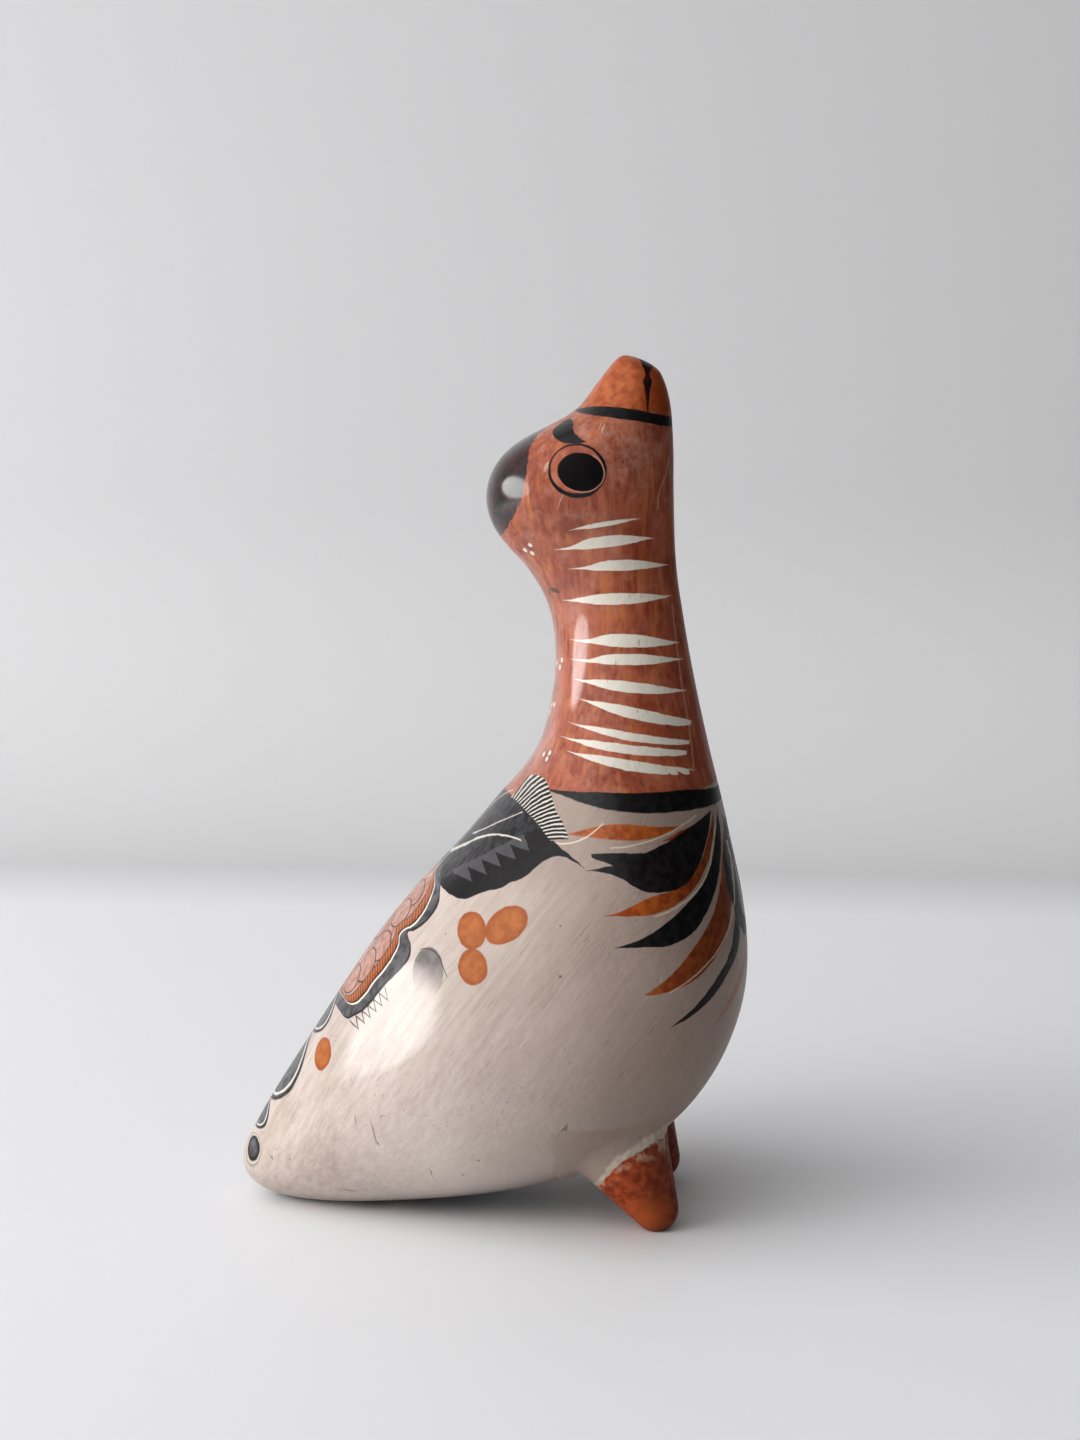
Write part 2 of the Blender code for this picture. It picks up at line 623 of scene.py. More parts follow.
class Clay:
    """One painted stretch of the bird's surface: the slip below, the marks on it, and the burnish over all.

    A stretch is as matt under its wax as its roughness says. The sheen is the clay's own reflection there.
    """

    name = "clay"
    clouding = Grain(0.45)
    cream_streaks = Grain(0.55, 4.0, 0.65)
    cream_clouds = Grain(0.045, 4.0, 0.6)
    fine_scratches = Grain(2.4, 2.0, 0.4)
    rust_streaks = Grain(0.75, 4.0, 0.6)
    rust_clouds = Grain(0.11, 4.0, 0.62)
    thin_rust = Grain(0.34)
    pale_bloom = Grain(0.2, 4.0, 0.65)
    chips = Grain(1.3, 4.0, 0.7)
    pit_scale = 0.22
    burnish_marks = Grain(0.8, 3.0, 0.6)
    hand_marks = Grain(0.32)
    roughness = 0.38
    roughness_swing = 0.22
    sheen = 0.05
    wax: Optional[Number] = None
    crackle: Optional[Value] = None
    coat_roughness = 0.14
    coat_ior = 1.6
    relief_strength = 0.3
    relief_depth = 0.0007

    def __init__(self) -> None:
        """Starts the material and lays out its canvas."""
        self.graph = graph = Graph.of_material(self.name)
        self.canvas = canvas = Canvas.of(graph)
        self.colour: object = None
        self.cloud = graph.noise(canvas.bare, self.clouding).ramp(4.0, -1.5)
        self.bare_along, out, up = graph.split(canvas.bare)
        across = self.bare_along.scaled(BACK_RISE, up * -BACK_RUN)
        back = self.bare_along.scaled(BACK_RUN, up * BACK_RISE)
        self.lay = graph.joined(across, out, back * 0.03)
        self.drag = graph.joined(self.bare_along, out, up * 0.14)

    def cream(self) -> bpy.types.NodeSocket:
        """Lays the cream slip, with faint marks of the burnishing stone, darker clouds and fine scratches,
        painted shade towards the front of the breast and up to the collar, and painted light low on the body
        ahead of the tail.

        Returns:
            Its colour.
        """
        graph, canvas = self.graph, self.canvas
        streak = graph.noise(self.lay, self.cream_streaks)
        cloud = graph.noise(canvas.bare, self.cream_clouds)
        shade = streak.scaled(0.65, cloud * 0.65).ramp(3.2, -1.55)
        colour = graph.mix(shade, Slip.CREAM_SHADE, Slip.CREAM)
        # Painted light: the cream is lightened low on the body, ahead of the tail, as if lit from the floor
        # below.
        painted_bounce_light = canvas.up.ramp(-0.03, 1.6) * canvas.along.ramp(0.03, 1.25)
        colour = graph.mix(painted_bounce_light * 0.6, colour, Slip.CREAM_PAINTED_LIGHT)
        # Painted shade: the cream darkens towards the front of the breast, and more so higher up towards the
        # collar.
        high = (canvas.up - 96.0).most(0.0) * 0.025
        painted_shade = canvas.along.ramp(0.02, high + 0.3)
        colour = graph.mix(painted_shade * 0.8, colour, Slip.CREAM_PAINTED_SHADE)
        scratch = graph.noise(self.lay, self.fine_scratches)
        colour = graph.mix(scratch.above(0.69, 0.06) * 0.3, colour, Slip.PIT)
        return graph.mix(scratch.below(0.31, 0.06) * 0.14, colour, Slip.WHITE)

    def rust(self) -> bpy.types.NodeSocket:
        """Lays the rust slip, with brushed streaks, ochre where it is thin, pale clouds, and painted shade
        towards the front of the neck and head.

        Returns:
            Its colour.
        """
        graph, canvas = self.graph, self.canvas
        streak = graph.noise(self.drag, self.rust_streaks)
        cloud = graph.noise(canvas.bare, self.rust_clouds)
        shade = streak.scaled(0.5, cloud * 0.65).ramp(4.2, -1.9)
        colour = graph.mix(shade, Slip.RUST_DARK, Slip.RUST)
        thin = graph.noise(self.drag, self.thin_rust).ramp(6.0, -3.2)
        colour = graph.mix(thin * 0.6, colour, Slip.RUST_OCHRE)
        # Painted shade: the rust darkens towards the front of the neck and head, which turn away from the
        # light.
        painted_shade = self.bare_along.ramp(0.05, -1.9)
        colour = graph.mix(painted_shade * 0.4, colour, Slip.RUST_DARK)
        bloom = graph.noise(canvas.bare, self.pale_bloom).ramp(6.0, -3.1)
        share = canvas.up.ramp(0.02, -3.7).scaled(0.35, 0.25)
        return graph.mix(bloom * share, colour, Slip.RUST_MAUVE)

    def ragged(self, scale: float, reach: float) -> Value:
        """How far an edge strays, in millimetres, over features of a size set by the scale."""
        return self.graph.noise(self.canvas.bare, Grain(scale, roughness=0.6)).scaled(2.0 * reach, -reach)

    def wear(self) -> Value:
        """Where a slip still covers: everywhere but in a few small chips and thin places."""
        return self.graph.noise(self.drag, self.chips).ramp(-9.0, 6.6)

    def paint(self, slip: Slip, cover: Value, strength: float = 1.0, second: Optional[Slip] = None) -> None:
        """Lays a slip over what is there.

        Args:
            slip: the slip.
            cover: where it lies, from 0 to 1.
            strength: how well it hides what is below.
            second: a darker or lighter slip that it clouds into.
        """
        above: object = slip
        if second is not None:
            above = self.graph.mix(self.cloud, slip, second)
        self.colour = self.graph.mix(cover * strength if strength != 1.0 else cover, self.colour, above)

    def pit(self) -> None:
        """Scatters small dark pits and grains thinly over what is there."""
        graph = self.graph
        cells = graph.node("TexVoronoi", None, {"Vector": self.canvas.bare, "Scale": self.pit_scale})
        chosen = graph.node("SeparateColor", None, {0: cells.outputs["Color"]})
        size = Value(graph, chosen.outputs[0]).scaled(0.4, -0.29)
        self.paint(Slip.PIT, Value(graph, cells.outputs["Distance"]).below(size, 0.04) * 0.6)

    def usual_wax(self) -> Value:
        """How much of the clear wax is left: all of it at the back and the sides, and little at the front."""
        return self.bare_along.ramp(-0.04, 2.1).most(0.1)

    def decorate(self) -> None:
        """Paints the stretch. Each one does this in its own way."""
        raise NotImplementedError

    def build(self) -> bpy.types.Material:
        """Paints the stretch and burnishes it: gloss that follows the stone's marks, and a clear wax over it.

        Returns:
            The finished material.
        """
        self.decorate()
        graph, inputs = self.graph, self.graph.shader.inputs
        marks = graph.noise(self.lay, self.burnish_marks)
        relief = marks * 0.6 + graph.noise(self.canvas.bare, self.hand_marks)
        if self.crackle is not None:
            relief = relief + self.crackle
        settings = {"Strength": self.relief_strength, "Distance": self.relief_depth, "Height": relief}
        swing = self.roughness_swing
        graph.connect(self.colour, inputs["Base Color"])
        graph.connect(marks.scaled(swing, self.roughness - swing / 2), inputs["Roughness"])
        graph.connect(graph.node("Bump", None, settings).outputs["Normal"], inputs["Normal"])
        graph.connect(self.usual_wax() if self.wax is None else self.wax, inputs["Coat Weight"])
        inputs["Coat Roughness"].default_value = self.coat_roughness
        inputs["Coat IOR"].default_value = self.coat_ior
        inputs["Specular IOR Level"].default_value = self.sheen
        return graph.material


class HeadPaint(Clay):
    """The head: a black crown, a ringed eye under a brow, and an orange beak above a black band."""

    name = "painted_head"
    mottling = Grain(0.42, 4.0, 0.7)
    cracks = Grain(0.9, roughness=0.6)
    band = Blade(
        (23.6, 225.0), (50.8, 221.8),
        (0.3, 1.5, 2.1, 2.2, 2.0, 1.6, 1.4), (-0.3, -0.6, -0.7, -0.8, -0.9, -1.2, -1.4),
    )
    crown_ends = (184.0, 224.0)
    crown_edge = (
        (184.0, -8.0), (187.5, -2.0), (190.6, 3.1), (193.7, 5.7), (199.9, 9.1), (207.5, 11.1), (211.5, 11.6),
        (215.2, 11.9), (217.6, 13.1), (220.5, 16.0), (224.0, 21.0),
    )
    brow = Blade(
        (18.0, 219.2), (27.4, 216.5),
        (0.5, 3.6, 4.6, 1.6, 0.7, 0.0), (-0.3, -1.5, -1.8, -1.4, -0.9, 0.0),
    )
    eye_outside = Dab((25.15, 208.95), (7.85, 7.2), turn=-8.0)
    eye_inside = Dab((24.95, 209.3), (7.05, 6.35), turn=-8.0)
    pupil = Dab((26.0, 208.65), (6.2, 5.1), turn=-12.0)
    beak_from = 224.6
    mouth_ends = (beak_from, 240.6)
    mouth_half = (
        (224.6, 0.15), (226.5, 0.3), (229.5, 0.6), (231.5, 0.95), (232.8, 1.25), (234.2, 0.65), (235.6, 0.75),
        (237.6, 1.7), (239.0, 2.3), (240.6, 3.0),
    )
    scuffs = (
        Spindle((31.5, 218.8), (32.2, 221.6), 0.7),
        Spindle((30.6, 219.8), (31.3, 221.9), 0.35),
        Spindle((16.0, 208.5), (17.5, 211.5), 1.1),
        Spindle((19.5, 197.0), (22.5, 204.0), 0.25, bow=0.5),
    )
    haze = Dab((37.5, 213.5), (8.0, 8.5))
    throat_line = Hairline((49.4, 212.5), (46.9, 193.6), (0.0, -0.2, -1.2, -1.0, 0.0), width=0.5)

    def mouth(self) -> Value:
        """Draws the line between the two halves of the beak, which widens over its tip.

        Returns:
            How much of it lies at the brush, from 0 to 1.
        """
        canvas = self.canvas
        half = canvas.profile(canvas.up, self.mouth_half, self.mouth_ends)
        line = canvas.up.scaled(-0.02, 48.1)
        return (half - abs(canvas.along - line)).least(canvas.up - self.beak_from).inside(0.22)

    def eye(self) -> Value:
        """Paints the eye: a thin ring, heavier below, round a broad pupil, and a pale line that parts them.

        Returns:
            The cover of the pupil.
        """
        canvas = self.canvas
        outside, inside = self.eye_outside.reach(canvas), self.eye_inside.reach(canvas)
        ring = (1.0 - outside).least(inside - 1.0).inside(0.035)
        self.paint(Slip.BLACK, ring)
        pupil = self.pupil.reach(canvas)
        dark = pupil.below(1.0, 0.05)
        parting = pupil.near(1.04, 0.035, 0.04) * (canvas.along - 0.8 * canvas.up + 141.5).inside(2.0)
        self.paint(Slip.RUST_MAUVE, parting, 0.85)
        self.paint(Slip.BLACK, dark)
        return dark

    def decorate(self) -> None:
        """Paints the head."""
        canvas = self.canvas
        self.colour = self.rust()
        self.paint(Slip.RUST_MAUVE, self.throat_line.cover(canvas), 0.6)
        mottle = self.graph.noise(canvas.bare, self.mottling).ramp(4.5, -1.7)
        self.paint(Slip.RUST_MAUVE, self.haze.reach(canvas).below(1.0, 1.1) * mottle, 0.55)
        self.paint(Slip.PUTTY, all_of(canvas, self.scuffs), 0.35)
        beak = canvas.up.above(self.beak_from, 0.3)
        self.paint(Slip.BEAK, beak, second=Slip.BEAK_DARK)
        # Painted shade: the beak darkens towards its front, which turns away from the light.
        self.paint(Slip.OCHRE_DARK, beak * canvas.along.above(44.0, 9.0), 0.85)
        self.paint(Slip.BLACK, self.mouth(), second=Slip.BLACK_WARM)
        crown = canvas.profile(canvas.up, self.crown_edge, self.crown_ends) - canvas.along
        crown = (crown + self.ragged(0.5, 0.9)).inside(0.3)
        self.paint(Slip.BLACK, crown, second=Slip.BLACK_WARM)
        self.paint(Slip.BLACK, all_of(canvas, (self.band, self.brow)), second=Slip.BLACK_SOFT)
        pupil = self.eye()
        self.crackle = self.bare_along.below(13.0, 5.0) * self.graph.noise(self.drag, self.cracks) * 3.6
        self.wax = self.usual_wax() * crown.scaled(0.4, pupil.scaled(-0.4, 0.6))


@dataclass(frozen=True)
class StrokeShape:
    """How far a stroke's upper and lower edges stand off its middle, as shares of its width at even steps."""

    hump: Sequence[float]
    belly: Sequence[float]


THIN_TAILED = StrokeShape(
    (0.0, 0.08, 0.24, 0.56, 0.74, 0.78, 0.76, 0.66, 0.48, 0.24, 0.0),
    (0.0, 0.06, 0.12, 0.18, 0.22, 0.24, 0.24, 0.22, 0.16, 0.08, 0.0),
)
FULL = StrokeShape(
    (0.0, 0.12, 0.34, 0.50, 0.58, 0.60, 0.58, 0.50, 0.36, 0.18, 0.0),
    (0.0, 0.08, 0.20, 0.32, 0.38, 0.40, 0.38, 0.34, 0.24, 0.12, 0.0),
)
BLUNT = StrokeShape(
    (0.0, 0.14, 0.36, 0.50, 0.58, 0.60, 0.60, 0.56, 0.48, 0.40, 0.20),
    (0.0, 0.08, 0.20, 0.30, 0.36, 0.40, 0.40, 0.38, 0.34, 0.30, 0.20),
)


def neck_stroke(start: Pair, end: Pair, width: float, shape: StrokeShape = THIN_TAILED) -> Blade:
    """Plans a white stroke across the neck.

    Args:
        start, end: its two tips.
        width: its greatest width in millimetres.
        shape: how its edges run.

    Returns:
        The stroke.
    """
    upper = [width * share for share in shape.hump]
    lower = [-width * share for share in shape.belly]
    return Blade(start, end, upper, lower)


class NeckPaint(Clay):
    """The neck: eleven white strokes down each side, and groups of three dots down the nape."""

    name = "painted_neck"
    strokes = (
        neck_stroke((22.8, 193.0), (42.0, 196.2), 1.3, FULL),
        neck_stroke((18.6, 187.5), (45.5, 190.7), 3.0),
        neck_stroke((22.6, 182.5), (49.5, 183.2), 2.8),
        neck_stroke((20.8, 173.6), (50.5, 174.8), 3.1, FULL),
        neck_stroke((22.8, 163.0), (52.8, 162.0), 3.4),
        neck_stroke((22.8, 157.7), (53.8, 157.6), 2.9),
        neck_stroke((24.0, 152.6), (54.8, 149.2), 2.9, FULL),
        neck_stroke((25.6, 147.6), (55.9, 140.6), 2.9, BLUNT),
        neck_stroke((22.8, 141.2), (55.6, 135.7), 2.0, BLUNT),
        neck_stroke((20.8, 137.3), (55.0, 133.2), 2.3, BLUNT),
        neck_stroke((22.6, 134.0), (56.4, 128.2), 2.6, BLUNT),
    )
    dots = (
        (10.3, 10.5, 187.2), (11.9, 13.0, 188.7), (12.3, 11.7, 186.4),
        (18.8, 5.7, 155.7), (20.4, 10.3, 157.0), (19.8, 9.3, 155.0),
        (17.5, 7.1, 144.1), (18.6, 10.0, 144.6), (16.9, 6.4, 142.1),
        (15.9, 15.7, 131.6), (17.7, 19.1, 132.4), (16.9, 19.1, 130.8),
    )
    throat_line = Hairline((50.6, 172.5), (57.0, 127.5), (0.0, -0.3, -0.2, 0.2, 0.0), width=0.45)
    chip = Dab((18.5, 176.2), (1.5, 0.6), turn=-20.0)

    def decorate(self) -> None:
        """Paints the neck."""
        canvas = self.canvas
        self.colour = self.rust()
        self.paint(Slip.RUST_MAUVE, self.throat_line.cover(canvas), 0.6)
        self.paint(Slip.WHITE, all_of(canvas, self.strokes) * self.wear())
        self.paint(Slip.WHITE, all_of(canvas, [Ball(dot, 0.72) for dot in self.dots]))
        self.paint(Slip.PIT, self.chip.cover(canvas), 0.9)


class BodyPaint(Clay):
    """What the breast and the flank share: cream clay below a rust neck, with a black collar between."""

    rust_from = 116.0
    rust_rise = 0.44
    rust_from_at_most = 123.3
    collar = Blade(
        (17.0, 123.6), (66.0, 117.0),
        (0.2, 1.4, 2.7, 3.6, 4.2, 4.9, 5.4, 5.0, 3.6), (-0.1, -0.1, -0.6, -0.7, -0.6, -0.2, 0.2, 0.6, 0.6),
        open_end=True,
    )
    first_ochre = Blade(
        (23.0, 113.6), (54.2, 115.3),
        (0.0, 0.9, 2.0, 2.6, 2.6, 2.0, 1.2, 0.5, 0.0), (0.0, -0.3, -0.6, -1.0, -1.4, -1.6, -1.5, -0.9, 0.0),
    )
    tip_line = Hairline((19.5, 110.9), (33.2, 117.2), (0.0, -1.3, -1.7, -1.3, 0.0), width=0.35)

    def ground(self) -> None:
        """Lays the cream, the rust above it, the collar between them, and the stroke that crosses both."""
        canvas = self.canvas
        self.colour = self.cream()
        edge = canvas.along.most(0.0).scaled(self.rust_rise, self.rust_from).least(self.rust_from_at_most)
        above = (canvas.up - edge + self.ragged(0.5, 0.5)).inside(0.35)
        self.colour = self.graph.mix(above, self.colour, self.rust())
        self.paint(Slip.BLACK, self.collar.depth(canvas)[0].inside(0.006), second=Slip.BLACK_SOFT)
        self.paint(Slip.OCHRE, self.first_ochre.cover(canvas), 0.95, second=Slip.OCHRE_DARK)
        self.paint(Slip.PUTTY, self.tip_line.cover(canvas), 0.8)


class BreastPaint(BodyPaint):
    """The breast: a fan of black and ochre strokes that spreads down from under the collar's front."""

    name = "painted_breast"
    ochres = (
        Blade((48.8, 112.3), (58.6, 115.2), (0.0, 0.3, 0.4, 0.3, 0.0), (0.0, -0.7, -1.3, -0.9, 0.0)),
        Blade((33.6, 94.0), (62.2, 116.3), (0.0, -1.9, -2.8, -4.1, -6.5, -7.4, -6.4, -3.6, 0.0),
              (0.0, -3.3, -6.7, -8.9, -10.1, -10.1, -8.6, -5.7, 0.0)),
        Blade((44.4, 73.2), (65.0, 110.4), (0.0, -2.7, -4.6, -5.7, -6.6, -6.5, -5.1, -2.7, 0.0),
              (0.0, -7.2, -11.2, -12.8, -13.1, -11.4, -8.0, -4.1, 0.0)),
    )
    blacks = (
        Blade((30.2, 109.4), (60.6, 117.1), (0.0, -0.9, -2.1, -3.4, -3.9, -3.1, 0.0),
              (-0.9, -4.2, -5.6, -5.6, -4.8, -3.7, 0.0)),
        Blade((28.2, 105.0), (61.7, 117.1), (0.0, -0.6, -0.6, -0.6, -0.9, -0.9, -0.6, -0.3, 0.0),
              (0.0, -1.6, -4.6, -9.6, -11.9, -12.9, -11.6, -7.3, 0.0)),
        Blade((36.6, 86.0), (63.3, 116.3), (0.0, -3.2, -5.2, -6.5, -7.4, -7.9, -6.7, -3.8, 0.0),
              (0.0, -5.6, -11.0, -13.5, -13.6, -12.4, -9.9, -5.9, 0.0)),
        Blade((51.2, 63.6), (64.7, 114.8), (0.0, -5.2, -8.7, -11.0, -10.7, -8.7, -5.9, -2.7, 0.0),
              (0.0, -7.6, -11.4, -13.4, -12.3, -10.2, -7.2, -3.8, 0.0)),
    )
    crater = (33.4, 48.0, 85.0)
    notch = Spindle((29.5, 108.2), (36.0, 106.8), 1.0, bow=-0.2)
    front_blacks = (
        Hairline((66.3, 113.5), (72.0, 81.0), (0.0, -1.9, -2.2, -1.2, 0.0), width=1.5),
        Spindle((0.0, 117.0), (0.0, 84.0), 11.0, skew=-0.2, plane=Plane.FRONT),
    )
    front_ochres = (
        Spindle((7.0, 112.0), (13.5, 80.0), 4.2, bow=1.0, plane=Plane.FRONT),
    )
    reddish = Blade((62.7, 60.7), (71.7, 78.3), (0.0, -0.7, -1.1, -0.8, 0.0), (0.0, -1.9, -2.6, -2.0, 0.0))
    pale_lines = (
        Hairline((35.4, 111.1), (57.6, 117.1), (0.0, -0.8, -1.1, -0.9, 0.0), width=0.4),
        Hairline((47.1, 93.9), (62.9, 113.4), (0.0, -3.2, -5.2, -5.3, -2.9, 0.0), width=0.45),
        Hairline((51.2, 73.6), (66.0, 107.6), (0.0, -5.5, -8.6, -8.6, -5.2, 0.0), width=0.45),
    )

    def decorate(self) -> None:
        """Paints the breast."""
        canvas = self.canvas
        self.ground()
        self.pit()
        ochres = all_of(canvas, (*self.ochres, *self.front_ochres))
        self.paint(Slip.OCHRE, ochres, 0.97, second=Slip.OCHRE_DARK)
        # Painted shade: the ochres darken towards the front of the breast, which turns away from the light.
        self.paint(Slip.BLACK_WARM, ochres * self.bare_along.above(51.0, 16.0), 0.5)
        self.paint(Slip.REDDISH, self.reddish.cover(canvas), 0.75)
        blacks = all_of(canvas, (*self.blacks, *self.front_blacks)).least(1.0 - self.notch.cover(canvas))
        self.paint(Slip.BLACK, blacks, second=Slip.BLACK_SOFT)
        self.paint(Slip.PUTTY, all_of(canvas, self.pale_lines), 0.55)
        away = self.graph.measure("DISTANCE", canvas.place, self.crater)
        self.paint(Slip.WHITE, away.near(1.9, 0.25, 0.6), 0.3)
        self.paint(Slip.PIT, away.below(0.45, 0.3))


class BackPaint(BodyPaint):
    """The flank and back: a dark leaf with a fan of lines, finger dots, a flower and medallions."""

    name = "painted_back"
    creases = Grain(0.5, roughness=0.6)
    leaf = Blade(
        (-12.6, 95.3), (29.6, 104.9),
        (9.0, 13.0, 17.0, 18.5, 19.5, 20.0, 20.4, 19.0, 16.0, 11.8, 7.6, 4.0, 0.0),
        (0.0, -2.3, -3.2, -2.4, -1.7, -1.4, -0.1, 0.6, 2.6, 4.4, 4.8, 3.1, 0.0),
    )
    fan_centre = (-3.4, 107.0)
    fan_ends = (11.3, 50.8)
    fan_outside = (
        (11.3, 27.9), (20.0, 27.3), (27.0, 26.5), (37.0, 27.1), (42.0, 27.5), (46.8, 26.6), (50.8, 23.4),
    )
    fan_inside = ((11.3, 22.8), (17.5, 21.3), (25.0, 20.0), (34.5, 18.2), (42.0, 17.3), (50.8, 16.0))
    fan_lines = 17
    fan_middle = 22.5
    fan_half = 5.0
    fan_degree = 0.42
    teeth_line = ((-8.8, 98.8), (11.6, 111.3))
    teeth = 5
    tooth_depth = 3.7
    scroll = Hairline((-11.3, 102.1), (10.8, 110.4), (0.0, 1.5, 2.6, 2.3, 0.0), width=0.4)
    vein = Hairline((-4.4, 108.3), (10.6, 116.9), (0.0, 0.2, 0.2, 0.0), width=0.2)
    midline = Hairline((66.0, 7.3), (101.0, 11.6), (0.0, -4.4, -6.6, -6.0, 0.0), width=0.5, plane=Plane.BACK)
    dots = (
        Dab((-2.1, 86.6), (4.1, 4.6), turn=-15.0),
        Dab((7.6, 89.3), (6.7, 4.0), turn=36.0),
        Dab((-1.4, 77.8), (4.1, 4.5), turn=-10.0),
        Dab((-45.7, 47.0), (2.6, 4.2), turn=-18.0),
    )
    egg = Dab((-14.2, 74.6), (4.5, 6.2), turn=-8.0)
    egg_line = Hairline((-17.0, 79.6), (-8.6, 74.4), (0.0, 2.2, 2.6, 1.4, 0.0), width=0.35)
    ticks_line = ((-35.4, 55.5), (-24.9, 66.5))
    ticks = 6
    tick_height = 2.8
    tick_half = 0.42
    flower_ends = (20.5, 73.0)
    flower_rim = (
        (20.5, 6.0), (22.0, 16.0), (23.0, 21.0), (26.0, 23.5), (31.0, 25.9), (36.0, 26.8), (41.0, 27.6),
        (46.0, 28.6), (50.0, 28.4), (52.3, 25.8), (53.3, 22.0), (55.0, 23.3), (58.0, 24.5), (62.0, 24.7),
        (65.0, 23.6), (67.5, 20.6), (69.5, 15.5), (71.0, 9.0), (73.0, 0.0),
    )
    flower_line = (
        (20.5, -6.0), (23.5, 6.0), (24.8, 12.5), (25.8, 17.7), (28.0, 20.9), (32.0, 22.5), (36.5, 22.9),
        (41.0, 23.6), (45.5, 23.5), (49.0, 22.3), (51.0, 19.7), (53.0, 20.0), (55.5, 21.5), (59.5, 21.6),
        (63.3, 19.8), (66.5, 16.6), (68.0, 12.0), (69.0, 6.0), (73.0, -8.0),
    )
    flower_band = 4.4
    petals = (
        Dab((43.6, 14.0), (4.6, 6.0), turn=-10.0, plane=Plane.BACK),
        Dab((36.6, 13.6), (4.8, 5.6), turn=12.0, plane=Plane.BACK),
        Dab((30.0, 10.0), (4.2, 5.6), plane=Plane.BACK),
        Dab((60.0, 8.0), (4.4, 6.6), plane=Plane.BACK),
        Dab((53.8, 10.6), (4.4, 5.6), plane=Plane.BACK),
        Dab((46.0, 0.0), (5.2, 8.0), plane=Plane.BACK),
    )
    medallions = ((15.8, 7.2, 13.2), (-3.2, 11.8, 14.6), (-19.2, 5.0, 11.4))
    # a small painted highlight, a glint on the medallion nearest the tail's middle
    painted_glint = Ball((-57.0, 4.2, 35.5), 1.1)
    drop = Dab((-67.4, 16.9), (2.4, 3.5), turn=-16.0)
    scratches = (
        Spindle((-34.8, 34.3), (-34.4, 31.2), 0.35),
        Spindle((-30.4, 33.6), (-28.6, 26.0), 0.4, bow=0.4),
        Spindle((-28.6, 27.6), (-27.6, 26.0), 0.5),
        Spindle((-39.6, 9.2), (-36.0, 8.8), 0.5),
        Spindle((-27.5, 34.0), (-25.0, 35.2), 0.3, bow=0.7),
        Spindle((-14.0, 20.8), (-13.4, 16.6), 0.35),
        Spindle((-61.5, 16.8), (-60.6, 15.2), 0.5),
        Spindle((20.6, 30.6), (24.2, 36.8), 1.5, bow=-0.5),
    )

    def fan(self) -> None:
        """Paints the fan of fine white lines on black at the leaf's upper edge."""
        graph, canvas = self.graph, self.canvas
        x, z = canvas.along - self.fan_centre[0], canvas.up - self.fan_centre[1]
        angle = graph.math("ARCTAN2", z, x) * math.degrees(1.0)
        reach = (x * x + z * z) ** 0.5
        outside = canvas.profile(angle, self.fan_outside, self.fan_ends)
        inside = canvas.profile(angle, self.fan_inside, self.fan_ends)
        sides = (angle - self.fan_ends[0]).least(self.fan_ends[1] - angle) * self.fan_degree
        cover = (outside - reach).least(reach - inside).least(sides).inside(0.25)
        spacing = (self.fan_ends[1] - self.fan_ends[0] - 1.0) / self.fan_lines
        bend = (reach - self.fan_middle) * (1.0 / self.fan_half)
        turned = angle - self.fan_ends[0] - (1.0 - bend * bend)
        across = (turned * (1.0 / spacing)).fraction()
        self.paint(Slip.BLACK, cover)
        self.paint(Slip.WHITE, cover * across.near(0.5, 0.18, 0.16), 0.9)

    def toothed_leaf(self) -> Value:
        """Paints the leaf: black along its lower edge, slate above, and a row of paler teeth between.

        Returns:
            The leaf's cover.
        """
        canvas = self.canvas
        cover = self.leaf.cover(canvas)
        self.paint(Slip.SLATE, cover, second=Slip.BLACK_SOFT)
        crease = self.graph.noise(self.lay, self.creases).near(0.5, 0.025, 0.03)
        self.paint(Slip.BLACK, cover * crease, 0.6)
        t, v, length = chord(canvas, Plane.SIDE, *self.teeth_line)
        row = t.least(1.0 - t) * length
        drop = (t * self.teeth).fraction() * self.tooth_depth * row.inside(0.5)
        self.paint(Slip.BLACK, cover * (v * -length - drop).inside(0.3), 0.85)
        tooth = (v * length + drop).least(0.8 - v * length).least(row)
        self.paint(Slip.GREY, cover * tooth.inside(0.3), 0.55)
        return cover

    def zigzag(self) -> Value:
        """Draws a row of short strokes up and down.

        Returns:
            How much of it lies at the brush, from 0 to 1.
        """
        t, v, length = chord(self.canvas, Plane.SIDE, *self.ticks_line)
        wave = abs((t * self.ticks).fraction() - 0.5) * (2.0 * self.tick_height)
        line = self.tick_half - abs(v * length - wave)
        return line.least(t.least(1.0 - t) * length).inside(0.25)

